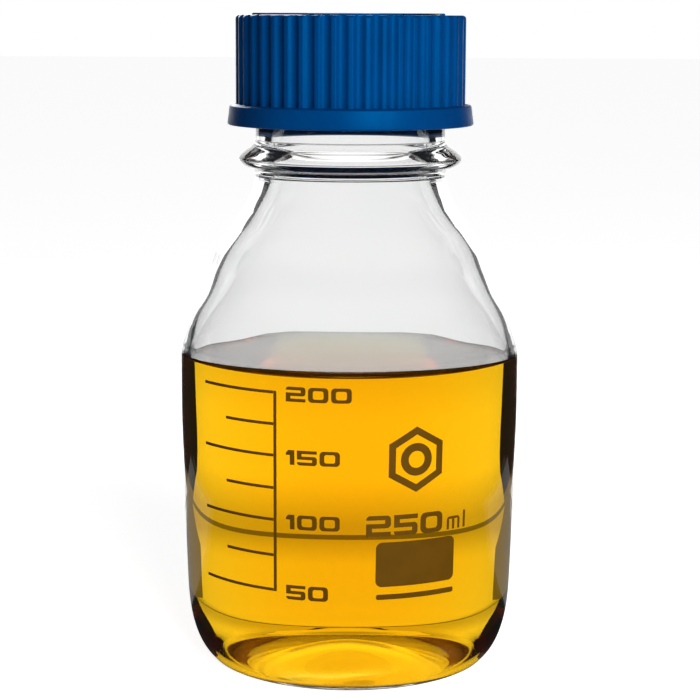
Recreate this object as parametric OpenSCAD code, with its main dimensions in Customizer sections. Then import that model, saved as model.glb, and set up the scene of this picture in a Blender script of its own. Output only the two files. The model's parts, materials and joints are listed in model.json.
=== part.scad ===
// Screw-cap reagent bottle, 250 ml, with its cap, seal, pouring ring, contents and fired-on print.
// The bottle stands on z = 0 with its axis on Z. The print faces -Y.

/* [Glass body] */
// Outer radius of the body where it is widest
body_r = 36.5; // [34:0.1:38]
// Wall thickness of the body
body_wall = 2.2; // [1.6:0.1:2.8]
// Outer radius of the body just above the heel
foot_r = 35.3; // [33.5:0.1:36.2]
// Height at which the heel runs into the body
heel_h = 16.5; // [12:0.5:19]
// How far the heel curves in before it reaches the table
heel_in = 7; // [4:0.5:8]
// Height at which the body reaches its full radius
taper_top_z = 54; // [50:1:58]
// Height at which the shoulder starts
shoulder_z = 66; // [65.5:0.5:70]
// Height of the push-up at the middle of the base
punt_h = 3.5; // [1.5:0.25:4]
// Width of the flat ring that the bottle stands on
ring_w = 7.5; // [5:0.5:10]
// Thickness of the base
base_wall = 1.5; // [1.2:0.1:4]

/* [Glass neck] */
// Height at which the shoulder ends in the neck
neck_z = 105; // [103:0.2:105.4]
// Outer radius of the neck, which is the root of the thread
neck_r = 20.3; // [20:0.1:20.5]
// Wall thickness where the shoulder meets the neck
neck_wall = 3.3; // [2.5:0.1:3.5]
// Outer radius of the collar bead below the cap
collar_r = 23.8; // [22.5:0.1:24.5]
// Height of the collar bead's crest
collar_z = 108.6; // [108.5:0.1:109.5]
// Radius of the mouth
mouth_r = 15.8; // [15.2:0.1:16.2]
// Height of the glass rim
rim_z = 134.8; // [134:0.1:135]

/* [Thread] */
// Pitch of the screw thread
pitch = 4; // [4:0.1:4.2]
// Radius of the glass thread's crest
thread_r = 22.2; // [21.8:0.1:22.3]
// Number of turns of the thread
thread_turns = 2; // [1.5:0.25:2.25]

/* [Cap] */
// Height of the cap's top face
cap_top_z = 139; // [138.9:0.1:140]
// Height of the cap's lower edge
cap_low_z = 116; // [115.5:0.1:116.5]
// Outer radius of the cap over its ribs
cap_r = 24.4; // [24.3:0.1:25.5]
// Number of ribs around the cap
rib_count = 44; // [36:1:48]
// Outer radius of the band at the cap's lower edge
band_r = 26.2; // [25.5:0.1:27]
// Height of that band
band_h = 4.2; // [3:0.1:5]
// Height of the raised arrows on the cap's top
arrow_h = 0.4; // [0.2:0.1:0.6]

/* [Contents] */
// Height of the liquid's surface
liquid_z = 66.2; // [60:0.1:80]

/* [Print] */
// Thickness of the fired-on print
print_t = 0.1; // [0.08:0.01:0.2]
// Thickness of the scale's lines
line_w = 0.6; // [0.3:0.05:0.8]
// Height of the scale's numerals
numeral_h = 3.05; // [2.5:0.05:3.5]
// Width of the scale's numerals
numeral_w = 4.15; // [3.5:0.05:4.5]
// Height of the capacity mark's numerals
capacity_h = 4.35; // [3.5:0.05:5]
// Width of the capacity mark's numerals
capacity_w = 5.1; // [4:0.1:5.4]
// Across the points of the hexagon emblem
emblem_size = 13.6; // [10:0.1:14]

/* [Hidden] */
$fn = 96;

PRINT_COLOR = [0.44, 0.29, 0.09];
CAP_COLOR = [0.0, 0.29, 0.59];

// ---- outlines: lists of [radius, height] ----

// Points of an ellipse's arc about a centre, from angle a0 to angle a1
function arc(centre, rx, rz, a0, a1, n) =
    [for (i = [0:n]) let (a = a0 + (a1 - a0) * i / n) centre + [rx * cos(a), rz * sin(a)]];

// A smooth curve through a list of points, n steps to a span
function between(a, b, c, d, t) =
    0.5 * (2 * b + (c - a) * t + (2 * a - 5 * b + 4 * c - d) * t * t + (3 * b - a - 3 * c + d) * t * t * t);
function smooth(p, n) = let (last = len(p) - 1) concat(
    [for (i = [0:last - 1], k = [0:n - 1])
        between(p[max(i - 1, 0)], p[i], p[i + 1], p[min(i + 2, last)], k / n)],
    [p[last]]);

// A line moved sideways into the glass by a thickness that grows along it from w0 to w1, slowly at first
function normal(p, i) = let (d = p[min(i + 1, len(p) - 1)] - p[max(i - 1, 0)]) [d[1], -d[0]] / norm(d);
function inset(p, w0, w1) = [for (i = [0:len(p) - 1])
    p[i] - normal(p, i) * (w0 + (w1 - w0) * pow(i / (len(p) - 1), 2))];

function reversed(p) = [for (i = [len(p) - 1:-1:0]) p[i]];

// The shoulder, as shares of its height and of the step in radius. It has one soft wave half way up.
shoulder_shares = [
    [0, 1], [0.035, 0.9985], [0.073, 0.992], [0.13, 0.969], [0.29, 0.85], [0.43, 0.67], [0.525, 0.583],
    [0.62, 0.495], [0.73, 0.325], [0.84, 0.143], [0.93, 0.045], [1, 0]
];
shoulder_line = smooth([for (s = shoulder_shares)
    [neck_r + (body_r - neck_r) * s[1], shoulder_z + (neck_z - shoulder_z) * s[0]]], 5);

// The collar bead, as heights from its crest and shares of its height above the neck
collar_shares = [
    [-2.6, 0.05], [-1.8, 0.28], [-1.1, 0.74], [0, 1], [0.9, 0.93], [2, 0.58], [3, 0.17], [4.2, 0]
];
collar_line = smooth([for (c = collar_shares)
    [neck_r + (collar_r - neck_r) * c[1], collar_z + c[0]]], 4);

// The base: a push-up that runs smoothly into a flat ring
punt_r = foot_r - heel_in - ring_w;
function punt(r) = punt_h * (1 + cos(180 * r / punt_r)) / 2;
punt_steps = 12;
base_line = [for (i = [0:punt_steps]) let (r = punt_r * i / punt_steps) [r, punt(r)]];

heel_line = arc([foot_r - heel_in, heel_h], heel_in, heel_h, -90, 0, 12);
rim_round = 1.2;
outer_line = concat(
    base_line, heel_line, [[body_r, taper_top_z]], shoulder_line, collar_line,
    arc([neck_r - rim_round, rim_z - rim_round], rim_round, rim_round, 0, 90, 6));

// Inside: the same push-up with the base's thickness, a heel, and a neck that narrows to the mouth
inner_heel_r = 6;
inner_heel_z = heel_h + 0.5;
inner_foot_r = foot_r - body_wall;
inner_base_r = inner_foot_r - inner_heel_r;
inner_base_line = [for (p = base_line) [p[0], p[1] * 1.2 + base_wall]];
inner_heel_line = arc([inner_base_r, inner_heel_z], inner_heel_r, inner_heel_z - base_wall, -90, 0, 12);
inner_wall_line = concat([[body_r - body_wall, taper_top_z]], inset(shoulder_line, body_wall, neck_wall));
inner_neck_line = smooth([[mouth_r + 1.5, collar_z], [mouth_r + 1.1, collar_z + 5],
    [mouth_r + 0.3, collar_z + 10], [mouth_r, collar_z + 14]], 4);
mouth_round = 1.5;
mouth_line = arc([mouth_r + mouth_round, rim_z - mouth_round], mouth_round, mouth_round, 180, 90, 6);

cavity_line = concat(inner_base_line, inner_heel_line, inner_wall_line);
inner_line = concat(cavity_line, inner_neck_line, mouth_line);

// ---- glass ----

// One thread ridge round the Z axis: a helix of a four-sided section, sunk into the wall that carries it
thread_steps = 60;
module thread_ridge(r_root, r_crest, w_root, w_crest, z_mid, turns) {
    n = ceil(turns * thread_steps);
    // The ridge fades in and out over its first and last eighth of a turn
    fade = thread_steps / 8;
    rings = [for (i = [0:n]) let (
            a = 360 * i / thread_steps,
            z = z_mid + pitch * (a / 360 - turns / 2),
            k = min(1, min(i, n - i) / fade + 0.08),
            tip = r_root + (r_crest - r_root) * k)
        [for (q = [[r_root, -w_root], [tip, -w_crest], [tip, w_crest], [r_root, w_root]])
            [q[0] * cos(a), q[0] * sin(a), z + q[1] / 2]]];
    points = [for (ring = rings, p = ring) p];
    sides = [for (i = [0:n - 1], j = [0:3])
        let (a = 4 * i + j, b = 4 * i + (j + 1) % 4) [a, a + 4, b + 4, b]];
    outward = r_crest > r_root;
    faces = concat(sides, [[0, 1, 2, 3], [4 * n + 3, 4 * n + 2, 4 * n + 1, 4 * n]]);
    polyhedron(points, [for (f = faces) outward ? reversed(f) : f], convexity = 4);
}

thread_mid_z = rim_z - 9;
thread_sunk = 0.4;

module glass_bottle() {
    color([0.85, 0.93, 0.95, 0.35]) union() {
        rotate_extrude() polygon(concat(outer_line, reversed(inner_line)));
        thread_ridge(neck_r - thread_sunk, thread_r, 3, 1.4, thread_mid_z, thread_turns);
    }
}

// ---- pouring ring: a clip inside the mouth, a plate over the rim and a raised lip that the seal meets ----

ring_bore_r = mouth_r - 1.2;
ring_skirt_z = rim_z - 8;
ring_plate = 0.5;
lip_r = mouth_r + 1.9;
lip_w = 0.45;
seal_gap = 0.1;
seal_low_z = cap_top_z - 3;

module pouring_ring() {
    color([0.1, 0.35, 0.62]) rotate_extrude() union() {
        // Skirt, clear of the mouth's rounded edge
        translate([ring_bore_r, ring_skirt_z])
            square([mouth_r - ring_bore_r, rim_z - mouth_round - ring_skirt_z]);
        translate([ring_bore_r, rim_z - mouth_round - 0.01]) square([0.7, mouth_round + 0.01 + ring_plate]);
        translate([ring_bore_r, rim_z]) square([neck_r - ring_bore_r - 0.2, ring_plate]);
        // Lip
        translate([lip_r - lip_w, rim_z]) square([2 * lip_w, seal_low_z - seal_gap - lip_w - rim_z]);
        translate([lip_r, seal_low_z - seal_gap - lip_w]) circle(lip_w, $fn = 24);
    }
}

// ---- seal: a silicone disc with a thin inert facing ----

seal_r = 21.2;
facing_t = 0.2;
seal_top_z = cap_top_z - 1.9;

module seal_facing() {
    color("ivory") translate([0, 0, seal_low_z]) cylinder(r = seal_r, h = facing_t);
}

module seal_disc() {
    color("gainsboro") translate([0, 0, seal_low_z + facing_t])
        cylinder(r = seal_r, h = seal_top_z - seal_low_z - facing_t);
}

// ---- cap ----

cap_bore_r = thread_r + 0.45;
cap_plate = 1.8;
seal_seat_r = seal_r + 0.4;
seal_seat_z = rim_z - 1.4;
edge_round = 0.7;
rib_cut_r = 1.3;
rib_cut_offset = 0.55;
band_draft = 0.5;

// The cap's outer shape turned solid, without its ribs
module cap_outside() {
    rotate_extrude() polygon(concat(
        [[0, cap_low_z], [band_r - 0.3, cap_low_z], [band_r, cap_low_z + 0.4],
         [band_r - band_draft + 0.05, cap_low_z + band_h - 0.35],
         [band_r - band_draft - 0.3, cap_low_z + band_h], [cap_r, cap_low_z + band_h]],
        arc([cap_r - edge_round, cap_top_z - edge_round], edge_round, edge_round, 0, 90, 6),
        [[0, cap_top_z]]));
}

// The hollow: a bore for the thread with a chamfered mouth, and a narrower seat for the seal
module cap_inside() {
    rotate_extrude() polygon([
        [0, cap_low_z - 1], [cap_bore_r + 0.6, cap_low_z - 1], [cap_bore_r + 0.6, cap_low_z],
        [cap_bore_r, cap_low_z + 0.6], [cap_bore_r, seal_seat_z], [seal_seat_r, seal_seat_z],
        [seal_seat_r, cap_top_z - cap_plate], [0, cap_top_z - cap_plate]]);
}

// The plan of the ribbed skirt: round gaps cut from a disc that reaches past the ribs
module ribs_plan() {
    difference() {
        circle(cap_r + rib_cut_offset);
        for (i = [0:rib_count - 1])
            rotate(360 * (i + 0.5) / rib_count)
                translate([cap_r + rib_cut_offset, 0]) circle(rib_cut_r, $fn = 32);
    }
}

// A curved arrow on the top face that shows the way to unscrew
arrow_r = 19.4;
arrow_w = 1.1;
arrow_sweep = 62;
module arrow() {
    rotate_extrude(angle = arrow_sweep)
        translate([arrow_r - arrow_w / 2, cap_top_z - 0.2]) square([arrow_w, arrow_h + 0.2]);
    rotate([0, 0, arrow_sweep]) translate([arrow_r, 0, cap_top_z - 0.2]) linear_extrude(arrow_h + 0.2)
        polygon([[-1.5, -0.3], [1.5, -0.3], [0, 3.4]]);
}

module cap_shell() {
    color(CAP_COLOR) union() {
        difference() {
            intersection() {
                cap_outside();
                union() {
                    translate([0, 0, cap_low_z - 1]) cylinder(r = band_r + 1, h = band_h + 1);
                    translate([0, 0, cap_low_z]) linear_extrude(cap_top_z) ribs_plan();
                }
            }
            cap_inside();
        }
        thread_ridge(
            cap_bore_r + thread_sunk, thread_r - 0.9, 2.4, 1, thread_mid_z - pitch / 2, thread_turns);
        for (i = [0:2]) rotate([0, 0, 120 * i]) arrow();
        translate([0, 0, cap_top_z - 0.2]) cylinder(r = 2.6, h = arrow_h / 2 + 0.2);
    }
}

// ---- contents ----

module amber_liquid() {
    color([1, 0.72, 0, 0.8]) intersection() {
        rotate_extrude() polygon(concat(cavity_line, [[0, neck_z]]));
        translate([0, 0, base_wall - 1]) cylinder(r = body_r, h = liquid_z - base_wall + 1);
    }
}

// ---- print: thin enamel that follows the wall's outer face ----

function wall_r(z) = z >= taper_top_z ? body_r :
    foot_r + (body_r - foot_r) * (z - heel_h) / (taper_top_z - heel_h);
function azimuth(along, z) = along / wall_r(z) * 180 / PI;
function chord(along) = 2 * body_r * sin(azimuth(along, shoulder_z) / 2);

// The wall's outer face between two heights, as a strip of the print's thickness
function strip(z0, z1) = let (inside = concat(
        [[wall_r(z0), z0]],
        z0 < taper_top_z && z1 > taper_top_z ? [[body_r, taper_top_z]] : [],
        [[wall_r(z1), z1]]))
    concat(inside, reversed([for (p = inside) p + [print_t, 0]]));

// A band of print from azimuth a0 to a1, where 0 is the front and positive angles are to the right
module printed_band(a0, a1, z0, z1) {
    rotate([0, 0, a0 - 90]) rotate_extrude(angle = a1 - a0) polygon(strip(z0, z1));
}

// A flat outline laid on the wall, its origin at a distance along the wall from the front and at a height
module printed(along, z, height) {
    intersection() {
        rotate_extrude() polygon(strip(z - 0.5, z + height + 0.5));
        rotate([0, 0, azimuth(along, z + height / 2)]) translate([0, -body_r + 3, z]) rotate([90, 0, 0])
            linear_extrude(5) children();
    }
}

module rounded(w, h, r) {
    translate([r, 0]) square([w - 2 * r, h]);
    translate([0, r]) square([w, h - 2 * r]);
    for (x = [r, w - r], y = [r, h - r]) translate([x, y]) circle(r, $fn = 24);
}

// Wide square-shouldered numerals, w wide and h high
function glyph_w(c, w) = c == "1" ? 0.44 * w : w;
function upright(w) = 0.235 * w;
function level(h) = 0.215 * h;

module zero(w, h) {
    difference() {
        rounded(w, h, 0.26 * h);
        translate([upright(w), level(h)]) rounded(w - 2 * upright(w), h - 2 * level(h), 0.14 * h);
    }
}

module one(w, h) {
    right = glyph_w("1", w);
    left = right - upright(w);
    translate([left, 0]) square([upright(w), h]);
    polygon([[0, 0.66 * h], [left + 0.01, 0.66 * h], [left + 0.01, h], [0.6 * left, h], [0, 0.8 * h]]);
}

module five(w, h) {
    bowl = 0.5 * h + level(h) / 2;
    translate([0, h - level(h)]) square([w, level(h)]);
    translate([0, bowl - level(h)]) square([upright(w), h - bowl + level(h)]);
    difference() {
        union() {
            rounded(w, bowl, 0.2 * h);
            translate([0, bowl / 2]) square([w / 2, bowl / 2]);
        }
        translate([-1, level(h)]) square([w - upright(w) + 1, bowl - 2 * level(h)]);
    }
}

module two(w, h) {
    translate([0, h]) mirror([0, 1]) five(w, h);
}

module glyph(c, w, h) {
    if (c == "0") zero(w, h);
    if (c == "1") one(w, h);
    if (c == "2") two(w, h);
    if (c == "5") five(w, h);
}

// Where glyph i of a number starts, with a gap between glyphs
function glyph_start(s, i, w) = i == 0 ? 0 : glyph_start(s, i - 1, w) + glyph_w(s[i - 1], w) + 0.13 * w;

// Each numeral is laid on the wall by itself, so that it faces straight out
module printed_number(s, along, z, w, h) {
    for (i = [0:len(s) - 1]) {
        half = glyph_w(s[i], w) / 2;
        printed(along + glyph_start(s, i, w) + half, z, h) translate([-half, 0]) glyph(s[i], w, h);
    }
}

// The scale: a mark for every 25 ml, from 50 ml to 200 ml, longer at every 50 ml. Seen from the front, the
// spine is an upright line, and the marks run from it to the left by a length measured along the wall.
scale_heights = [22.6, 30, 37.5, 44.2, 51, 57.5, 64];
spine_x = -15.05;
long_along = -34.9;
short_along = -27.9;
numerals_along = -13.05;

// Each mark stops a hair short of the spine, so that every line is a solid of its own
module scale_mark(z, along) {
    mark_end = asin((spine_x - line_w / 2 - 0.02) / wall_r(z));
    printed_band(azimuth(along, z), mark_end, z - line_w / 2, z + line_w / 2);
}

module scale_lines() {
    low = scale_heights[0] - line_w / 2;
    high = scale_heights[len(scale_heights) - 1] + line_w / 2;
    color(PRINT_COLOR) {
        for (i = [0:len(scale_heights) - 1])
            scale_mark(scale_heights[i], i % 2 == 0 ? long_along : short_along);
        intersection() {
            rotate_extrude() polygon(strip(low, high));
            translate([spine_x - line_w / 2, -body_r - 1, low]) cube([line_w, body_r, high - low]);
        }
    }
}

// A number stands beside its own mark
module scale_numeral(s, mark) {
    color(PRINT_COLOR)
        printed_number(s, numerals_along, scale_heights[mark] - 0.55 * numeral_h, numeral_w, numeral_h);
}

module numeral_200() scale_numeral("200", 6);
module numeral_150() scale_numeral("150", 4);
module numeral_100() scale_numeral("100", 2);
module numeral_50() scale_numeral("50", 0);

// Capacity: large numerals, then the unit in small letters
capacity_along = 3.5;
capacity_z = 34.7;
unit_stroke = 0.52;
unit_x_h = 2.7;

module letter_m() {
    w = 3.3;
    difference() {
        union() {
            translate([0, 0]) square([w, unit_x_h - 0.7]);
            translate([0, unit_x_h - 1.6]) rounded(w, 1.6, 0.7);
        }
        for (i = [0:1])
            translate([unit_stroke + i * (w - unit_stroke) / 2, -0.1])
                square([(w - unit_stroke) / 2 - unit_stroke, unit_x_h - unit_stroke + 0.1]);
    }
}

module letter_l() {
    square([unit_stroke, 3.6]);
}

module capacity_mark() {
    color(PRINT_COLOR) {
        printed_number("250", capacity_along, capacity_z, capacity_w, capacity_h);
        printed(23, capacity_z + 0.1, 4) translate([-1.65, 0]) letter_m();
        printed(25.9, capacity_z + 0.1, 4) translate([-unit_stroke / 2, 0]) letter_l();
    }
}

panel_along = 14.35;
panel_w = chord(17.7);
module write_on_panel() {
    color(PRINT_COLOR) printed(panel_along, 24, 9.4) translate([-panel_w / 2, 0]) rounded(panel_w, 9.4, 1.3);
}

// A hexagon with a ring inside it
emblem_along = 14;
emblem_z = 43.6;
module emblem() {
    c = emblem_size / 2;
    color(PRINT_COLOR) printed(emblem_along, emblem_z, emblem_size) translate([0, c]) {
        difference() {
            rotate(30) circle(c, $fn = 6);
            rotate(30) circle(c * 0.76, $fn = 6);
        }
        difference() {
            circle(c * 0.5);
            circle(c * 0.26);
        }
    }
}

bar_w = chord(17.5);
module plain_bar() {
    color(PRINT_COLOR) printed(panel_along, 21.3, 1.1) translate([-bar_w / 2, 0]) rounded(bar_w, 1.1, 0.4);
}

glass_bottle();
pouring_ring();
cap_shell();
seal_disc();
seal_facing();
amber_liquid();
scale_lines();
numeral_200();
numeral_150();
numeral_100();
numeral_50();
capacity_mark();
write_on_panel();
emblem();
plain_bar();
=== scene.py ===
import json
import math

import bmesh
import bpy
from mathutils import Euler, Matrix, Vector, noise

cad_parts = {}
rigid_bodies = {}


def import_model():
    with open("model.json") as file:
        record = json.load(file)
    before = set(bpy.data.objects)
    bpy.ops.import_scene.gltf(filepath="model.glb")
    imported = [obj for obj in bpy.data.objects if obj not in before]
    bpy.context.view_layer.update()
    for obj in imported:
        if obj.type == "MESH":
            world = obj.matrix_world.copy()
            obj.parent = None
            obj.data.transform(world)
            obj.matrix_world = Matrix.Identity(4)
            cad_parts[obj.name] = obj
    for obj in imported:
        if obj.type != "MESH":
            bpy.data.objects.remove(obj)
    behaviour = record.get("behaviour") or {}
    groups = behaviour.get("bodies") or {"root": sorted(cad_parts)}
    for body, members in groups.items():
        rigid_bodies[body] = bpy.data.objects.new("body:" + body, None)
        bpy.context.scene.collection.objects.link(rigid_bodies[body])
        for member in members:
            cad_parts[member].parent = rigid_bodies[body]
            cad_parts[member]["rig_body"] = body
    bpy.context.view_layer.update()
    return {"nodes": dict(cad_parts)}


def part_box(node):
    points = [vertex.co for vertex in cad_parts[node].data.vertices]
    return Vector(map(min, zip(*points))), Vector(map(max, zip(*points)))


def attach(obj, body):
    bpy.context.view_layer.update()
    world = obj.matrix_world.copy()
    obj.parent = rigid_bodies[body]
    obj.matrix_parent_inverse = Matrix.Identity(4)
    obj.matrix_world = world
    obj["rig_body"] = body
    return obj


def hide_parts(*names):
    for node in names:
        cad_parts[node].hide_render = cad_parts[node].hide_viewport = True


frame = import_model()

# Lengths are in millimetres, in the CAD frame, and are turned into metres where a mesh is made.
MM = 0.001


def node_box(node):
    """A CAD node's lowest and highest corners in millimetres."""
    return tuple(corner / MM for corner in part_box(node))


# ---- sizes from the frame ----

glass_low, glass_high = node_box("glass_bottle")
cap_low, cap_high = node_box("cap_shell")
ring_low, ring_high = node_box("pouring_ring")
seal_low, seal_high = node_box("seal_disc")
facing_low, facing_high = node_box("seal_facing")
liquid_low, liquid_high = node_box("amber_liquid")

BODY_R = (glass_high.x - glass_low.x) / 2
RIM_Z = glass_high.z
LIQUID_Z = liquid_high.z
BAND_R = (cap_high.x - cap_low.x) / 2

# ---- the glass, as part.scad has it ----

BODY_WALL = 2.2
TAPER_IN = 1.2
FOOT_R = BODY_R - TAPER_IN
HEEL_H = 16.5
HEEL_IN = 7.0
TAPER_TOP_Z = 54.0
SHOULDER_Z = 66.0
STAND_RING_W = 7.5
PUNT_H = 3.5
PUNT_R = FOOT_R - HEEL_IN - STAND_RING_W
PUNT_INSIDE = 1.2
BASE_WALL = 1.5
NECK_Z = 105.0
NECK_R = 20.3
NECK_WALL = 3.3
COLLAR_R = 23.8
COLLAR_Z = 108.6
MOUTH_R = 15.8
INNER_HEEL_R = 6.0
INNER_HEEL_Z = HEEL_H + 0.5
INNER_FLAT_W = 1.5
RIM_ROUND = 1.2
MOUTH_ROUND = 1.5

# The thread shared by the glass and the cap
PITCH = 4.0
THREAD_R = 22.2
THREAD_TURNS = 2.0
THREAD_Z = RIM_Z - 9.0
# Half of its ridge and the flank within that half, as shares of the pitch
THREAD_HALF_W = 0.36
THREAD_FLANK_W = 0.2
# Its ends start at a share of its full height and gain a number of such heights in a turn
THREAD_START = 0.08
THREAD_RISE = 8

# The shoulder and the collar, as shares of their height and of their step in radius
SHOULDER = [
    (0, 1), (0.035, 0.9985), (0.073, 0.992), (0.13, 0.969), (0.29, 0.85), (0.43, 0.67), (0.525, 0.583),
    (0.62, 0.495), (0.73, 0.325), (0.84, 0.143), (0.93, 0.045), (1, 0),
]
COLLAR = [(-2.6, 0.05), (-1.8, 0.28), (-1.1, 0.74), (0, 1), (0.9, 0.93), (2, 0.58), (3, 0.17), (4.2, 0)]

# How finely the outlines are cut
CURVE_STEPS = 8
BASE_STEPS = 30
HEEL_STEPS = 24
NECK_STEPS = 70
# The heel is an exact arc up to this many degrees, and from there the wall's curvature is evened out
HEEL_EASE = -75
WALL_SPACING = 0.9
WALL_PASSES = 24
# A point nearer the axis than this is on it
ON_AXIS = 1e-6


def smooth(points):
    """A Catmull-Rom curve through points."""
    out = []
    last = len(points) - 1
    for i in range(last):
        a, b = Vector(points[max(i - 1, 0)]), Vector(points[i])
        c, d = Vector(points[i + 1]), Vector(points[min(i + 2, last)])
        for k in range(CURVE_STEPS):
            t = k / CURVE_STEPS
            turn = 2 * a - 5 * b + 4 * c - d
            bend = 3 * b - a - 3 * c + d
            out.append(0.5 * (2 * b + (c - a) * t + turn * t * t + bend * t ** 3))
    return out + [Vector(points[-1])]


def arc(centre, rx, rz, start, end, steps):
    """Points along part of an ellipse, its angles in degrees."""
    angles = [math.radians(start + (end - start) * i / steps) for i in range(steps + 1)]
    return [Vector((centre[0] + rx * math.cos(a), centre[1] + rz * math.sin(a))) for a in angles]


def straight(start, end, steps):
    """Evenly spaced points from start up to, and not including, end."""
    a, b = Vector(start), Vector(end)
    return [a.lerp(b, i / steps) for i in range(steps)]


def inset(line, near, far):
    """A line moved sideways by a thickness that grows along it, slowly at first."""
    out = []
    last = len(line) - 1
    for i, p in enumerate(line):
        along = (line[min(i + 1, last)] - line[max(i - 1, 0)]).normalized()
        out.append(p - Vector((along.y, -along.x)) * (near + (far - near) * (i / last) ** 2))
    return out


def eased(line):
    """A line with its points spaced evenly and its changes of curvature evened out."""
    out = [line[0]]
    for a, b in zip(line, line[1:]):
        count = max(1, round((b - a).length / WALL_SPACING))
        out += [a.lerp(b, i / count) for i in range(1, count + 1)]
    for _ in range(WALL_PASSES):
        middle = [(a + 2 * b + c) / 4 for a, b, c in zip(out, out[1:], out[2:])]
        out = [out[0]] + middle + [out[-1]]
    return out


def punt(r):
    """The height of the base's underside, which is pushed up in the middle."""
    return PUNT_H * (1 + math.cos(math.pi * min(r / PUNT_R, 1))) / 2


def wall_r(z):
    """The outer radius of the printed part of the body."""
    if z >= TAPER_TOP_Z:
        return BODY_R
    return FOOT_R + (BODY_R - FOOT_R) * (z - HEEL_H) / (TAPER_TOP_Z - HEEL_H)


def base_line():
    """The base's underside, from the middle out to the ring that the bottle stands on."""
    radii = [PUNT_R * i / BASE_STEPS for i in range(BASE_STEPS + 1)]
    return [Vector((r, punt(r))) for r in radii]


def heel_and_wall(centre, rx, rz, r):
    """From the base round the heel and up to the shoulder, where the radius is r."""
    low = arc(centre, rx, rz, -90, HEEL_EASE - 1, CURVE_STEPS)
    wall = arc(centre, rx, rz, HEEL_EASE, 0, HEEL_STEPS)
    wall += [Vector((r, TAPER_TOP_Z)), Vector((r, SHOULDER_Z))]
    return low + eased(wall)[:-1]


def shoulder_line():
    """The outside of the shoulder, from the body up to the neck."""
    return smooth([(NECK_R + (BODY_R - NECK_R) * s, SHOULDER_Z + (NECK_Z - SHOULDER_Z) * h)
                   for h, s in SHOULDER])


def glass_outside():
    """The outer outline, from the middle of the base up to the rim."""
    collar = smooth([(NECK_R + (COLLAR_R - NECK_R) * s, COLLAR_Z + h) for h, s in COLLAR])
    above_collar = collar[-1] + Vector((0, 0.3))
    return (
        base_line()
        + heel_and_wall((FOOT_R - HEEL_IN, HEEL_H), HEEL_IN, HEEL_H, BODY_R)
        + shoulder_line()
        + collar
        + straight(above_collar, (NECK_R, RIM_Z - RIM_ROUND), NECK_STEPS)
        + arc((NECK_R - RIM_ROUND, RIM_Z - RIM_ROUND), RIM_ROUND, RIM_ROUND, 0, 90, CURVE_STEPS)
    )


def cavity_line():
    """The inner outline, from the middle of the base up to the top of the shoulder."""
    heel_mid = (FOOT_R - BODY_WALL - INNER_HEEL_R, INNER_HEEL_Z)
    before_heel = Vector((heel_mid[0] - INNER_FLAT_W, BASE_WALL))
    return (
        [Vector((p.x, p.y * PUNT_INSIDE + BASE_WALL)) for p in base_line()]
        + [before_heel]
        + heel_and_wall(heel_mid, INNER_HEEL_R, INNER_HEEL_Z - BASE_WALL, BODY_R - BODY_WALL)
        + inset(shoulder_line(), BODY_WALL, NECK_WALL)
    )


def glass_inside():
    """The inner outline, from the middle of the base up to the rim."""
    # How much wider than the mouth the neck is inside, at some heights above the collar
    narrowing = [(1.5, 0), (1.1, 5), (0.3, 10), (0, 14)]
    neck = smooth([(MOUTH_R + wider, COLLAR_Z + up) for wider, up in narrowing])
    mouth_mid = (MOUTH_R + MOUTH_ROUND, RIM_Z - MOUTH_ROUND)
    return cavity_line() + neck + arc(mouth_mid, MOUTH_ROUND, MOUTH_ROUND, 180, 90, CURVE_STEPS)


# ---- meshes turned on the bottle's axis ----


def lathe(name, outline, segments, ring=False, slots=None, radius=None, height=None, crease=None):
    """A closed piece turned from an outline of (radius, height) in millimetres. A plain outline starts and
    ends on the axis, and a ring's outline is a loop. slots[i] is the material slot of the band from point i
    to the next. radius and height take (i, angle, r, z) and give a point's own radius and height where the
    piece isn't quite round."""
    mesh = bpy.data.meshes.new(name)
    verts, faces, bands = [], [], []
    rows = []
    for i, p in enumerate(outline):
        if p[0] < ON_AXIS:
            rows.append([len(verts)])
            verts.append((0, 0, (height(i, 0, 0, p[1]) if height else p[1]) * MM))
            continue
        rows.append(list(range(len(verts), len(verts) + segments)))
        for k in range(segments):
            a = 2 * math.pi * k / segments
            r = radius(i, a, p[0], p[1]) if radius else p[0]
            z = height(i, a, p[0], p[1]) if height else p[1]
            verts.append((r * math.cos(a) * MM, r * math.sin(a) * MM, z * MM))
    pairs = list(zip(range(len(rows)), range(1, len(rows))))
    if ring:
        pairs.append((len(rows) - 1, 0))
    for i, j in pairs:
        low, high = rows[i], rows[j]
        for k in range(segments):
            n = (k + 1) % segments
            if len(low) == 1:
                faces.append((low[0], high[n], high[k]))
            elif len(high) == 1:
                faces.append((low[k], low[n], high[0]))
            else:
                faces.append((low[k], low[n], high[n], high[k]))
            bands.append(slots[i] if slots else 0)
    mesh.from_pydata(verts, [], faces)
    mesh.polygons.foreach_set("material_index", bands)
    mesh.update()
    return finished(name, mesh, crease)


def finished(name, mesh, crease=None):
    """Links a mesh as an object with outward faces and smooth shading."""
    bm = bmesh.new()
    bm.from_mesh(mesh)
    bmesh.ops.recalc_face_normals(bm, faces=bm.faces)
    for f in bm.faces:
        f.smooth = True
    if crease is not None:
        for e in bm.edges:
            e.smooth = len(e.link_faces) == 2 and e.calc_face_angle() < math.radians(crease)
    bm.to_mesh(mesh)
    bm.free()
    piece = bpy.data.objects.new(name, mesh)
    bpy.context.scene.collection.objects.link(piece)
    return piece


def dress(piece, *materials):
    """Gives the piece its materials, in the order of its slots."""
    for m in materials:
        piece.data.materials.append(m)


def stand_for(piece, body, slot, *nodes):
    """The piece rides on a body and hides the CAD nodes that it stands for. slot is not used."""
    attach(piece, body)
    if nodes:
        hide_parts(*nodes)


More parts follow.
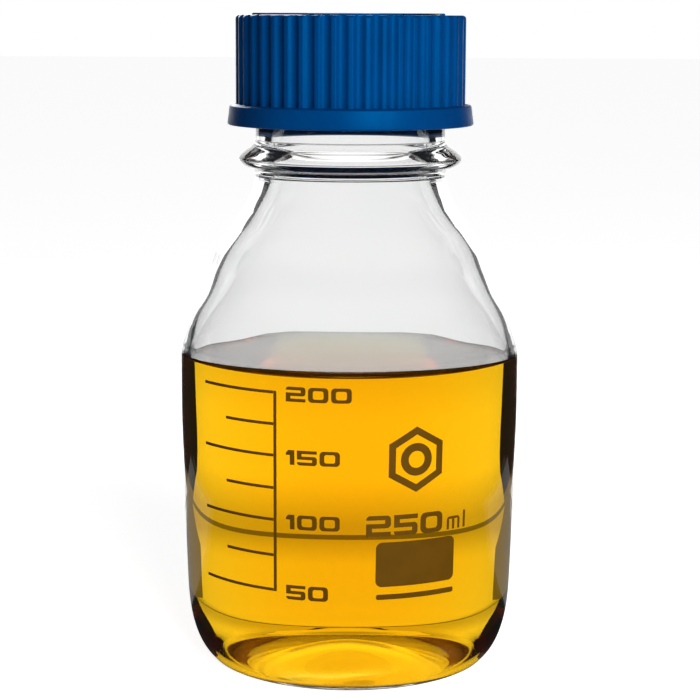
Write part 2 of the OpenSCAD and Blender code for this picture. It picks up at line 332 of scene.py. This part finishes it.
def thread_height(angle, z, low_z, turns):
    """How far a point is through a thread's section, from 0 in the gap to 1 on the crest."""
    turn = angle / (2 * math.pi)
    first = (z - low_z) / PITCH - turn
    count = round(first)
    across = abs(first - count)
    run = turn + count
    if run < 0 or run > turns:
        return 0
    fade = min(1, min(run, turns - run) * THREAD_RISE + THREAD_START)
    flank = min(1, max(0, (THREAD_HALF_W - across) / THREAD_FLANK_W))
    return flank * flank * (3 - 2 * flank) * fade


# ---- materials ----


class Nodes:
    """A new material's node tree, with short ways to add nodes to it."""

    def __init__(self, name):
        self.material = bpy.data.materials.new(name)
        self.material.use_nodes = True
        self.tree = self.material.node_tree
        self.shader = self.tree.nodes["Principled BSDF"]
        self.out = self.tree.nodes["Material Output"]

    def add(self, kind, **values):
        """A new node. Each value sets a property of it or, if it has none of that name, a socket."""
        node = self.tree.nodes.new("ShaderNode" + kind)
        for key, value in values.items():
            if hasattr(node, key):
                setattr(node, key, value)
            else:
                self.feed(node, key, value)
        return node

    def feed(self, node, socket, value):
        """Links a socket of another node to the node's own, or sets the value there."""
        target = node.inputs[socket.replace("_", " ") if isinstance(socket, str) else socket]
        if isinstance(value, bpy.types.NodeSocket):
            self.tree.links.new(value, target)
        else:
            target.default_value = value

    def set(self, **values):
        """Sets or links the shader's own sockets."""
        for key, value in values.items():
            self.feed(self.shader, key, value)

    def place(self, scale):
        """The object's own coordinates, so many to the metre."""
        coords = self.add("TexCoord")
        mapping = self.add("Mapping", Scale=scale)
        self.tree.links.new(coords.outputs["Object"], mapping.inputs["Vector"])
        return mapping.outputs[0]

    def noise(self, scale, detail=3.0, rough=0.5, stretch=(1, 1, 1)):
        node = self.add("TexNoise", Scale=scale, Detail=detail, Roughness=rough)
        self.tree.links.new(self.place(stretch), node.inputs["Vector"])
        return node.outputs["Fac"]

    def ramp(self, fac, *stops):
        node = self.add("ValToRGB")
        elements = node.color_ramp.elements
        while len(elements) < len(stops):
            elements.new(0.5)
        for element, (position, colour) in zip(elements, stops):
            element.position = position
            element.color = colour if len(colour) == 4 else (*colour, 1)
        self.tree.links.new(fac, node.inputs["Fac"])
        return node.outputs["Color"]

    def calc(self, operation, a, b):
        node = self.add("Math", operation=operation)
        self.feed(node, 0, a)
        self.feed(node, 1, b)
        return node.outputs[0]

    def product(self, result, *others):
        for other in others:
            result = self.calc("MULTIPLY", result, other)
        return result

    def fade(self, value, start, end, low=0.0, high=1.0):
        """low while value is below start, high when it is above end, and evenly in between."""
        node = self.add("MapRange", From_Min=start, From_Max=end, To_Min=low, To_Max=high, Value=value)
        return node.outputs[0]

    def bump(self, height, strength, distance):
        node = self.add("Bump", Strength=strength, Distance=distance, Height=height)
        return node.outputs["Normal"]


class WorldNodes(Nodes):
    """A world's node tree, with the same short ways."""

    def __init__(self, world):
        world.use_nodes = True
        self.tree = world.node_tree

    def choose(self, fac, a, b):
        """a where fac is 0 and b where it is 1."""
        node = self.add("Mix", data_type="FLOAT", Factor=fac, A=a, B=b)
        return node.outputs[0]


GLASS_IOR = 1.474
LIQUID_IOR = 1.345
PLASTIC_IOR = 1.49


def clear_glass(name):
    """Clear borosilicate glass."""
    n = Nodes(name)
    tint = n.ramp(n.noise(60), (0.35, (0.985, 0.995, 0.99)), (0.65, (1, 1, 1)))
    n.set(Base_Color=tint, Roughness=0.0, IOR=GLASS_IOR, Transmission_Weight=1.0)
    return n.material


def amber_liquid():
    """A clear amber-yellow liquid that is coloured by its depth."""
    n = Nodes("amber_liquid")
    n.set(Base_Color=(1, 1, 1, 1), Roughness=0.0, IOR=LIQUID_IOR, Transmission_Weight=1.0)
    depth = n.add("VolumeAbsorption", Color=(0.9925, 0.872, 0.015, 1), Density=100.0)
    n.tree.links.new(depth.outputs[0], n.out.inputs["Volume"])
    return n.material


def moulded_plastic(name, deep, light, roughness):
    """Moulded polypropylene with a faint mottle and a very fine grain."""
    n = Nodes(name)
    mottle = n.noise(90, detail=4)
    grain = n.noise(2200, detail=2)
    smoother = (roughness - 0.05,) * 3
    rougher = (roughness + 0.05,) * 3
    n.set(Base_Color=n.ramp(mottle, (0.3, deep), (0.7, light)),
          IOR=PLASTIC_IOR, Specular_IOR_Level=0.3, Specular_Tint=(0.0, 0.4, 1.0, 1),
          Roughness=n.ramp(n.noise(400), (0.3, smoother), (0.7, rougher)),
          Normal=n.bump(grain, 0.12, 0.00005))
    return n.material


def fired_print():
    """Brown enamel fired on to the glass, with a fine grain."""
    n = Nodes("fired_print")
    patches = n.noise(120, detail=4)
    grain = n.noise(2500, detail=3, rough=0.7)
    n.set(Base_Color=n.ramp(patches, (0.3, (0.092, 0.04, 0.0005)), (0.7, (0.118, 0.052, 0.001))),
          Roughness=0.5, Specular_IOR_Level=0.06, Normal=n.bump(grain, 0.25, 0.00004))
    return n.material


def rubbery(name, dark, light, roughness):
    """Silicone rubber and its thin facing: a soft mottle and a fine grain."""
    n = Nodes(name)
    n.set(Base_Color=n.ramp(n.noise(300, detail=4), (0.3, dark), (0.7, light)), Roughness=roughness,
          Normal=n.bump(n.noise(1800), 0.2, 0.00005))
    return n.material


GLASS_OUT = clear_glass("clear_glass")
GLASS_IN = clear_glass("clear_glass_inner")
LIQUID = amber_liquid()
CAP_BLUE = moulded_plastic("cap_plastic", (0.0, 0.034, 0.14), (0.0, 0.042, 0.172), 0.42)
RING_BLUE = moulded_plastic("ring_plastic", (0.005, 0.1, 0.36), (0.01, 0.13, 0.42), 0.35)
SILICONE = rubbery("silicone", (0.62, 0.62, 0.58), (0.72, 0.72, 0.68), 0.6)
FACING = rubbery("inert_facing", (0.8, 0.78, 0.72), (0.86, 0.84, 0.79), 0.35)
PRINT = fired_print()

# ---- pieces ----

GLASS_SEGMENTS = 256

# Pressing leaves a low ring and soft waves under the base, a little off centre
RELIEF_OFF = 1.5
RELIEF_RING_R = 12.5
RELIEF_RING_W = 2.2
RELIEF_RING_H = 0.14
RELIEF_WAVE_L = 9
RELIEF_WAVE_H = 0.1
RELIEF_FADE = 5

# The inner wall of a blown shoulder is never quite even
UNEVEN_LOW_Z = SHOULDER_Z + 4
UNEVEN_DEPTH = 0.12
UNEVEN_FADE = 6
UNEVEN_ROUND = 1.3
UNEVEN_UP = 0.17

# The neck has no thread below this height
THREAD_LOW_Z = COLLAR_Z + 5


def base_relief(angle, r):
    """How far the base's underside stands above its plain shape."""
    x, y = r * math.cos(angle) + RELIEF_OFF, r * math.sin(angle)
    off = math.hypot(x, y)
    ring = RELIEF_RING_H * math.exp(-((off - RELIEF_RING_R) / RELIEF_RING_W) ** 2)
    wave = RELIEF_WAVE_H * noise.noise(Vector((x / RELIEF_WAVE_L, y / RELIEF_WAVE_L, 3.0)))
    return (ring + wave) * min(1, (PUNT_R - r) / RELIEF_FADE)


def unevenness(angle, z):
    """How far the shoulder's inner wall stands out from its plain shape."""
    near_end = min(z - UNEVEN_LOW_Z, NECK_Z - z) / UNEVEN_FADE
    at = Vector((math.cos(angle) * UNEVEN_ROUND, math.sin(angle) * UNEVEN_ROUND, z * UNEVEN_UP))
    return UNEVEN_DEPTH * min(1, near_end) * noise.noise(at)


def make_glass():
    outside, inside = glass_outside(), glass_inside()
    thread_low = THREAD_Z - PITCH * THREAD_TURNS / 2

    def height(i, angle, r, z):
        return z + base_relief(angle, r) if i <= BASE_STEPS else z

    def radius(i, angle, r, z):
        if i < len(outside):
            if THREAD_LOW_Z < z < RIM_Z - RIM_ROUND:
                return r + (THREAD_R - NECK_R) * thread_height(angle, z, thread_low, THREAD_TURNS)
            return r
        return r + unevenness(angle, z) if UNEVEN_LOW_Z < z < NECK_Z else r

    outline = outside + inside[::-1]
    slots = [0 if i < len(outside) else 1 for i in range(len(outline))]
    piece = lathe("glass", outline, GLASS_SEGMENTS, slots=slots, radius=radius, height=height)
    dress(piece, GLASS_OUT, GLASS_IN)
    stand_for(piece, "bottle", "clear_glass", "glass_bottle")


# The liquid reaches a hair into the glass, so that no film of air shows between them
INTO_GLASS = 0.06
# The meniscus climbs the wall and dies away over a few millimetres. It stands highest at the front.
MENISCUS_H = 2.2
MENISCUS_D = 1.7
MENISCUS_AT_BACK = 0.08
MENISCUS_FORWARD = 1.5
# How far from the wall its outline has points, each further from the next
MENISCUS_STEPS = (0, 0.06, 0.15, 0.3, 0.5, 0.75, 1.1, 1.6, 2.2, 3, 4, 5.5, 8)
# The flat middle of the surface, as a share of its radius
SURFACE_FLAT = 0.72


def make_liquid():
    side = []
    for p in cavity_line():
        if p.y < LIQUID_Z:
            side.append(p + Vector((INTO_GLASS if p.x > ON_AXIS else 0, -INTO_GLASS)))
    edge_r = BODY_R - BODY_WALL
    climb = [Vector((edge_r + INTO_GLASS - d, LIQUID_Z + MENISCUS_H * math.exp(-d / MENISCUS_D)))
             for d in MENISCUS_STEPS]
    top = [Vector((edge_r * (1 - i / CURVE_STEPS) * SURFACE_FLAT, LIQUID_Z))
           for i in range(CURVE_STEPS + 1)]

    def height(i, angle, r, z):
        if i < len(side):
            return z
        front = (1 - math.sin(angle)) / 2
        share = MENISCUS_AT_BACK + (1 - MENISCUS_AT_BACK) * front ** MENISCUS_FORWARD
        return LIQUID_Z + (z - LIQUID_Z) * share

    piece = lathe("liquid", side + climb + top, GLASS_SEGMENTS, height=height, crease=40)
    dress(piece, LIQUID)
    stand_for(piece, "bottle", "amber_liquid", "amber_liquid")


# The cap's skirt stands in from the smooth band at its lower edge
BAND_STEP = 1.8
BAND_H = 4.2
BAND_ROUND = 0.4
BAND_TAPER = 0.45
CAP_R = BAND_R - BAND_STEP
CAP_TOP_Z = seal_high.z + 1.9
CAP_LOW_Z = cap_low.z
CAP_ROUND = 0.8
FILLET = 0.35
RIBS = 44
RIB_CUT_R = 1.3
RIB_CUT_OFFSET = 0.55
RIB_SOFT = 0.12
RIB_DEEPEST = 1
# The fillet at the ribs' foot follows them by this share of its reach
RIB_SPREAD = 0.6
CAP_BORE_R = THREAD_R + 0.45
CAP_THREAD_DEPTH = 1.35
BORE_STEPS = 96
BORE_CHAMFER = 0.55
SEAL_SEAT_R = (seal_high.x - seal_low.x) / 2 + 0.4
SEAT_ROUND = 0.3
SEAT_EDGE = 0.2
CAP_SEGMENTS = RIBS * 16


def rib_r(angle):
    """The ribbed skirt's radius: round gaps in a disc, with softened edges."""
    step = 2 * math.pi / RIBS
    off = (angle + step / 2) % step - step / 2
    off = abs(step / 2 - abs(off))
    centre = CAP_R + RIB_CUT_OFFSET
    reach = RIB_CUT_R ** 2 - (centre * math.sin(off)) ** 2
    gap = centre * math.cos(off) - math.sqrt(reach) if reach > 0 else CAP_R + RIB_DEEPEST
    depth = RIB_SOFT * math.log(math.exp(-(gap - CAP_R) / RIB_SOFT) + 1)
    return CAP_R - min(depth, RIB_DEEPEST)


def make_cap():
    """The outline runs up inside the cap's hollow, round the band, up the skirt and in over the top."""
    band_top = CAP_LOW_Z + BAND_H
    band_top_r = BAND_R - BAND_ROUND - BAND_TAPER
    fillet_mid = (CAP_R + FILLET, band_top + FILLET)
    skirt = (
        [Vector((band_top_r, band_top)), Vector((CAP_R + FILLET, band_top))]
        + arc(fillet_mid, FILLET, FILLET, -90, -180, 4)[1:]
        + straight((CAP_R, band_top + 0.6), (CAP_R, CAP_TOP_Z - CAP_ROUND), 24)
        + arc((CAP_R - CAP_ROUND, CAP_TOP_Z - CAP_ROUND), CAP_ROUND, CAP_ROUND, 0, 90, 8)
        + [Vector((CAP_R - 1.4, CAP_TOP_Z)), Vector((CAP_R - 2.4, CAP_TOP_Z))]
    )
    top = [Vector((r, CAP_TOP_Z)) for r in (21, 18, 14, 9, 4, 0)]
    band = (
        arc((BAND_R - BAND_ROUND, CAP_LOW_Z + BAND_ROUND), BAND_ROUND, BAND_ROUND, -90, 0, 5)
        + arc((band_top_r, band_top - BAND_ROUND), BAND_ROUND, BAND_ROUND, 5, 85, 5)
    )
    seat_z = RIM_Z - 1.4
    under_z = seal_high.z + 0.1
    seat_mid = (SEAL_SEAT_R - SEAT_ROUND, under_z - SEAT_ROUND)
    hollow = (
        [Vector((r, under_z)) for r in (0, 6, 12, 18)]
        + arc(seat_mid, SEAT_ROUND, SEAT_ROUND, 90, 0, 4)
        + [Vector((SEAL_SEAT_R, seat_z + SEAT_EDGE)), Vector((SEAL_SEAT_R + SEAT_EDGE, seat_z))]
        + straight((CAP_BORE_R, seat_z - SEAT_EDGE), (CAP_BORE_R, CAP_LOW_Z + 0.7), BORE_STEPS)
        + [Vector((CAP_BORE_R, CAP_LOW_Z + 0.6)), Vector((CAP_BORE_R + BORE_CHAMFER, CAP_LOW_Z))]
    )
    outline = hollow + band + skirt + top
    bore_end = len(hollow) - 2
    skirt_start = len(hollow) + len(band)
    # The ribs start part of the way up the fillet
    ribs_start = skirt_start + 4
    ribs_end = skirt_start + len(skirt)
    thread_low = THREAD_Z - PITCH / 2 - PITCH * THREAD_TURNS / 2

    def radius(i, angle, r, z):
        if bore_end - BORE_STEPS <= i < bore_end:
            return r - CAP_THREAD_DEPTH * thread_height(angle, z, thread_low, THREAD_TURNS)
        if ribs_start <= i < ribs_end:
            return min(r, rib_r(angle) + RIB_SPREAD * max(0, r - CAP_R))
        return r

    piece = lathe("cap", outline, CAP_SEGMENTS, radius=radius)
    dress(piece, CAP_BLUE)
    stand_for(piece, "cap", "cap_plastic", "cap_shell")


# The raised arrows on the cap's top, in millimetres and degrees, and the moulding mark between them
ARROWS = 3
ARROW_R = 19.4
ARROW_HALF_W = 0.55
ARROW_HEAD_HALF_W = 1.5
ARROW_SWEEP = 62
ARROW_HEAD_SWEEP = 10
ARROW_STEPS = 24
MARK_R = 2.6
MARK_STEPS = 48
RAISED_FOOT = 0.1
RAISED_BEVEL = 0.12


def round_the_axis(r, degrees):
    angle = math.radians(degrees)
    return (r * math.cos(angle), r * math.sin(angle))


def raise_slab(bm, outline):
    """A flat slab that starts a hair below the cap's top, so that no gap shows."""
    foot_z = CAP_TOP_Z - RAISED_FOOT
    bottom = bm.faces.new([bm.verts.new((x * MM, y * MM, foot_z * MM)) for x, y in outline])
    top = bmesh.ops.extrude_face_region(bm, geom=[bottom])
    lifted = [v for v in top["geom"] if isinstance(v, bmesh.types.BMVert)]
    bmesh.ops.translate(bm, verts=lifted, vec=(0, 0, (cap_high.z - foot_z) * MM))


def make_arrows():
    """Three raised arrows on the cap's top, which point the way to unscrew it, round a moulding mark."""
    mesh = bpy.data.meshes.new("cap_arrows")
    bm = bmesh.new()
    for k in range(ARROWS):
        start = 360 / ARROWS * k
        tip = start + ARROW_SWEEP
        along = [start + ARROW_SWEEP * i / ARROW_STEPS for i in range(ARROW_STEPS + 1)]
        outer = [round_the_axis(ARROW_R + ARROW_HALF_W, a) for a in along]
        inner = [round_the_axis(ARROW_R - ARROW_HALF_W, a) for a in reversed(along)]
        head = [round_the_axis(ARROW_R + ARROW_HEAD_HALF_W, tip),
                round_the_axis(ARROW_R, tip + ARROW_HEAD_SWEEP),
                round_the_axis(ARROW_R - ARROW_HEAD_HALF_W, tip)]
        raise_slab(bm, outer + head + inner)
    raise_slab(bm, [round_the_axis(MARK_R, 360 * i / MARK_STEPS) for i in range(MARK_STEPS)])
    bmesh.ops.recalc_face_normals(bm, faces=bm.faces)
    edges = [e for e in bm.edges if all(v.co.z > CAP_TOP_Z * MM for v in e.verts)]
    bmesh.ops.bevel(bm, geom=edges, offset=RAISED_BEVEL * MM, segments=2, affect="EDGES")
    bmesh.ops.triangulate(bm, faces=[f for f in bm.faces if len(f.verts) > 4])
    bm.to_mesh(mesh)
    bm.free()
    piece = finished("cap_arrows", mesh, crease=35)
    dress(piece, CAP_BLUE)
    stand_for(piece, "cap", "cap_plastic")


# The pouring ring: its wall in the mouth, the plate over the rim, and the lip
RING_WALL = 1.2
RING_NARROW_WALL = 0.5
RING_PLATE_T = 0.5
RING_PLATE_ROUND = 0.25
RING_LIP_R = MOUTH_R + 1.9
RING_LIP_HALF_W = 0.45
RING_EDGE = 0.2


def make_pouring_ring():
    """The clip in the mouth, its plate over the rim and the lip that the seal meets."""
    low_z = ring_low.z
    plate_z = RIM_Z + RING_PLATE_T
    step_z = RIM_Z - MOUTH_ROUND
    inner = MOUTH_R - RING_WALL
    narrow = MOUTH_R - RING_NARROW_WALL
    outer = ring_high.x
    lip_mid = (RING_LIP_R, ring_high.z - RING_LIP_HALF_W)
    lip_foot = RING_LIP_HALF_W + RING_EDGE
    plate_round = RING_PLATE_ROUND
    inner_round = 0.35
    clip = [(inner, low_z + RING_EDGE), (inner + RING_EDGE, low_z), (MOUTH_R - RING_EDGE, low_z),
            (MOUTH_R, low_z + RING_EDGE), (MOUTH_R, step_z), (narrow, step_z), (narrow, RIM_Z)]
    outline = (
        [Vector(p) for p in clip]
        + [Vector((outer - 0.15, RIM_Z))]
        + arc((outer - plate_round, RIM_Z + plate_round), plate_round, plate_round, -90, 90, 6)
        + [Vector((RING_LIP_R + lip_foot, plate_z)), Vector((RING_LIP_R + RING_LIP_HALF_W, plate_z + 0.1))]
        + arc(lip_mid, RING_LIP_HALF_W, RING_LIP_HALF_W, 0, 180, 8)
        + [Vector((RING_LIP_R - RING_LIP_HALF_W, plate_z + 0.1)), Vector((RING_LIP_R - lip_foot, plate_z))]
        + arc((inner + inner_round, plate_z - inner_round), inner_round, inner_round, 90, 180, 5)
    )
    piece = lathe("pour_ring", outline, 192, ring=True)
    dress(piece, RING_BLUE)
    stand_for(piece, "bottle", "ring_plastic", "pouring_ring")


def make_disc(name, low, high, node, slot, material):
    """A flat round piece with eased edges."""
    r = high.x
    ease = min(0.15, (high.z - low.z) / 3)
    shares = (0, 0.5, 0.9)
    outline = (
        [Vector((r * share, low.z)) for share in shares]
        + arc((r - ease, low.z + ease), ease, ease, -90, 0, 4)
        + arc((r - ease, high.z - ease), ease, ease, 0, 90, 4)
        + [Vector((r * share, high.z)) for share in reversed(shares)]
    )
    piece = lathe(name, outline, 128)
    dress(piece, material)
    stand_for(piece, "seal", slot, node)


PRINT_T = 0.09
# The print's back stands a hair off the glass
PRINT_BACK = 0.004
PRINT_LONGEST_EDGE = 0.7 * MM
PRINT_CUTS = 6


def make_print(node):
    """A CAD print node's own outline, cut finely and laid back on the wall's true curve."""
    source = frame["nodes"][node].data
    bm = bmesh.new()
    bm.from_mesh(source)
    bmesh.ops.remove_doubles(bm, verts=bm.verts, dist=1e-6)
    bmesh.ops.triangulate(bm, faces=bm.faces)
    for _ in range(PRINT_CUTS):
        long_edges = [e for e in bm.edges if e.calc_length() > PRINT_LONGEST_EDGE]
        if not long_edges:
            break
        bmesh.ops.subdivide_edges(bm, edges=long_edges, cuts=1)
        bmesh.ops.triangulate(bm, faces=bm.faces)
    bm.normal_update()
    for v in bm.verts:
        out = Vector((v.co.x, v.co.y, 0)).normalized()
        in_front = any(f.normal.dot(out) > 0.7 for f in v.link_faces)
        r = wall_r(v.co.z / MM) + (PRINT_T if in_front else PRINT_BACK)
        v.co.x, v.co.y = out.x * r * MM, out.y * r * MM
    mesh = bpy.data.meshes.new("print_" + node)
    bm.to_mesh(mesh)
    bm.free()
    piece = finished("print_" + node, mesh, crease=40)
    dress(piece, PRINT)
    stand_for(piece, "bottle", "fired_print", node)


# ---- camera ----

CAMERA_PLACE = (-0.2 * MM, -442.6 * MM, 139.7 * MM)
CAMERA_LENS = 106.25
CAMERA_DOWN = 9.3
CAMERA_LEAN = -0.24


def make_camera():
    """The camera stands level with the cap's top and looks a little down."""
    data = bpy.data.cameras.new("camera")
    data.sensor_width = 36.0
    data.lens = CAMERA_LENS
    camera = bpy.data.objects.new("camera", data)
    camera.location = CAMERA_PLACE
    camera.rotation_euler = Euler((math.radians(90 - CAMERA_DOWN), math.radians(CAMERA_LEAN), 0))
    bpy.context.scene.collection.objects.link(camera)
    bpy.context.scene.camera = camera


# ---- studio ----

# A lit white panel stands behind the bottle. What lies beyond it is dark to glass, which gives the glass its
# dark edges, and white to the camera.
PANEL_Y = 130.5
PANEL_X = 1.3
PANEL_TOP_Z = 150.0
# The panel's half width at some heights: it is narrowest part of the way up, and widest at its top
PANEL_SIDE = [(97, 0.3), (84, 7), (74, 12), (70, 18), (69, 24), (71, 32), (76, 44), (112, 72)]
# The lit part of the table opens out from the bottle to the panel
TABLE_SIDE = [(30, -30), (30, 35), (9, 52), (22, 74.5), (42.5, 96), (95, PANEL_Y - 4.5)]
# The painted shade of the grey table beyond, where glass sees it at a low angle
TABLE_SHADE = 0.25
# The grey table beyond it
AROUND_X = 160
AROUND_NEAR_Y = 30
AROUND_FAR_Y = PANEL_Y + 12
AROUND_Z = -0.5
FLOOR_REACH = 6000.0
# The floor's strength as the camera sees it, and as it lights the object
FLOOR_SEEN = 0.9
FLOOR_GIVEN = 0.22

# The surroundings' strength to matt faces, to gloss, and through glass: beyond the panel, in front and above
WORLD_DIFFUSE = 0.07
WORLD_GLOSSY = 0.02
WORLD_DARK = 0.015
WORLD_FRONT = 0.8
WORLD_ABOVE = 0.6
MIRRORED_GLOW = 1.35


def make_world():
    """Seen through glass, the surroundings are lit in front of the bottle, beside it, below and above, and
    dark behind its panel."""
    world = bpy.data.worlds.new("studio")
    bpy.context.scene.world = world
    w = WorldNodes(world)
    rays = w.add("LightPath").outputs
    direction = w.add("SeparateXYZ")
    w.tree.links.new(w.add("TexCoord").outputs["Generated"], direction.inputs[0])
    front = w.fade(w.calc("MULTIPLY", direction.outputs["Y"], -1.0), -0.36, -0.26)
    below = w.fade(w.calc("MULTIPLY", direction.outputs["Z"], -1.0), 0.5, 0.7)
    above = w.fade(direction.outputs["Z"], 0.5, 0.75, high=WORLD_ABOVE)
    unreflected = w.calc("LESS_THAN", rays["Glossy Depth"], 0.5)
    lit_side = w.product(w.calc("MAXIMUM", front, below), unreflected)
    through = w.calc("MAXIMUM", w.choose(lit_side, WORLD_DARK, WORLD_FRONT), above)
    strength = w.choose(rays["Is Glossy Ray"], WORLD_DIFFUSE, WORLD_GLOSSY)
    strength = w.choose(rays["Is Transmission Ray"], strength, through)
    strength = w.choose(rays["Is Camera Ray"], strength, 1.0)
    background = w.tree.nodes["Background"]
    background.inputs["Color"].default_value = (1, 1, 1, 1)
    w.tree.links.new(strength, background.inputs["Strength"])


def card(name, corners, camera, through):
    """A flat stage piece that glows. camera says that it shows to the camera and lights the object, and
    through that it shows in glass and gloss."""
    mesh = bpy.data.meshes.new(name)
    mesh.from_pydata([[c * MM for c in p] for p in corners], [], [range(len(corners))])
    piece = bpy.data.objects.new(name, mesh)
    bpy.context.scene.collection.objects.link(piece)
    piece.visible_camera = piece.visible_diffuse = piece.visible_shadow = camera
    piece.visible_transmission = piece.visible_glossy = through
    n = Nodes(name)
    colour = (0.8, 0.8, 0.8, 1) if camera else (0, 0, 0, 1)
    n.set(Base_Color=colour, Roughness=0.9, Specular_IOR_Level=0.0, Emission_Color=(1, 1, 1, 1))
    mesh.materials.append(n.material)
    return n


def both_sides(side):
    """An outline from its right side, with the left as its mirror image about the panel's middle."""
    return [(PANEL_X + x, y, z) for x, y, z in side] + [(PANEL_X - x, y, z) for x, y, z in reversed(side)]


def make_floor():
    """It shows white, and lights the object less than that."""
    far = FLOOR_REACH
    floor = card("floor", [(-far, -far, 0), (far, -far, 0), (far, far, 0), (-far, far, 0)], True, False)
    seen = floor.add("LightPath").outputs["Is Camera Ray"]
    floor.set(Emission_Strength=floor.fade(seen, 0.0, 1.0, FLOOR_GIVEN, FLOOR_SEEN))


def make_panel():
    """It is brightest low down, dims at its foot, and is brighter still where it shows by reflection, in the
    liquid's surface and under the base."""
    side = [(x, PANEL_Y, z) for x, z in PANEL_SIDE] + [(PANEL_SIDE[-1][0], PANEL_Y, PANEL_TOP_Z)]
    panel = card("panel", both_sides(side), False, True)
    height = panel.add("SeparateXYZ")
    panel.tree.links.new(panel.place((1, 1, 1)), height.inputs[0])
    glow = panel.fade(height.outputs["Z"], 0.03, 0.05, 1.38, 0.98)
    foot = panel.fade(height.outputs["Z"], 0.003, 0.016, 0.6, 1.0)
    mirrored = panel.add("LightPath").outputs["Glossy Depth"]
    lift = panel.fade(mirrored, 0.0, 1.0, 1.0, MIRRORED_GLOW)
    panel.set(Emission_Strength=panel.product(glow, foot, lift))


def make_table():
    """Its glow is painted light, the lit table as glass shows it. It has a painted shadow under and close
    round the bottle, is darker again near the panel's foot, and has a painted sheen at a low angle, so it is
    darker from above."""
    table = card("table", both_sides([(x, y, 0) for x, y in TABLE_SIDE]), False, True)
    from_bottle = table.add("VectorMath", operation="LENGTH")
    table.tree.links.new(table.place((1, 1, 0)), from_bottle.inputs[0])
    # Painted shadow: the table is dark under and close round the bottle
    near = table.fade(from_bottle.outputs["Value"], 0.036, 0.046, 0.1, 1.2)
    far_off = table.fade(from_bottle.outputs["Value"], 0.1, 0.128, 1.0, 0.62)
    # Painted sheen: brighter at a low angle, where the table would mirror the panel
    low_angle = table.add("LayerWeight", Blend=0.5).outputs["Facing"]
    painted_sheen = table.fade(low_angle, 0.4, 0.66, 0.2, 1.0)
    table.set(Emission_Strength=table.product(near, far_off, painted_sheen))


def make_table_around():
    """Its glow is painted light, a grey table as glass shows it: painted shade at a low angle, brighter from
    above.
    """
    side = [(AROUND_X, AROUND_NEAR_Y, AROUND_Z), (AROUND_X, AROUND_FAR_Y, AROUND_Z)]
    around = card("table_around", both_sides(side), False, True)
    low_angle = around.add("LayerWeight", Blend=0.5).outputs["Facing"]
    # Painted shade: the card glows at TABLE_SHADE at a low angle and brighter from above
    around.set(Emission_Strength=around.fade(low_angle, 0.3, 0.6, 0.8, TABLE_SHADE))


def area_light(name, place, target_z, size, power, receivers):
    """A square lamp that is aimed at a height on the bottle's axis."""
    data = bpy.data.lights.new(name, "AREA")
    data.shape = "SQUARE"
    data.size = size
    data.energy = power
    light = bpy.data.objects.new(name, data)
    light.location = place
    aim = Vector((0, 0, target_z)) - Vector(place)
    light.rotation_euler = aim.to_track_quat("-Z", "Y").to_euler()
    light.visible_transmission = False
    light.visible_camera = False
    light.light_linking.receiver_collection = receivers
    bpy.context.scene.collection.objects.link(light)


def make_lights():
    """The lamps light everything but the glass and the liquid, which show the panel, the table and the
    surroundings instead. The lamp behind leaves the floor alone too. Places and sizes are in metres."""
    lit = bpy.data.collections.new("lit")
    lit_behind = bpy.data.collections.new("lit_behind")
    for o in list(bpy.context.scene.objects):
        if o.type != "MESH" or o.name in ("glass", "liquid"):
            continue
        lit.objects.link(o)
        if o.name != "floor":
            lit_behind.objects.link(o)
    area_light("key", (0.26, -0.62, 0.3), 0.1, 0.4, 5.6, lit)
    area_light("fill", (-0.5, -0.6, 0.5), 0.08, 0.5, 0.1, lit)
    area_light("behind", (-0.2, 0.7, 0.36), 0.1, 0.4, 5.0, lit_behind)


# ---- the scene ----

make_camera()
make_world()
make_floor()
make_panel()
make_table()
make_table_around()

make_glass()
make_liquid()
make_cap()
make_arrows()
make_pouring_ring()
make_disc("seal_silicone", seal_low, seal_high, "seal_disc", "silicone", SILICONE)
make_disc("seal_film", facing_low, facing_high, "seal_facing", "inert_facing", FACING)
for node, body in sorted((n, o["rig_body"]) for n, o in frame["nodes"].items()):
    if body == "bottle" and node not in ("glass_bottle", "pouring_ring", "amber_liquid"):
        make_print(node)
make_lights()

scene = bpy.context.scene
scene.view_settings.view_transform = "Standard"
scene.view_settings.look = "None"
scene.cycles.max_bounces = 32
scene.cycles.transmission_bounces = 32
scene.cycles.glossy_bounces = 16
scene.cycles.transparent_max_bounces = 16
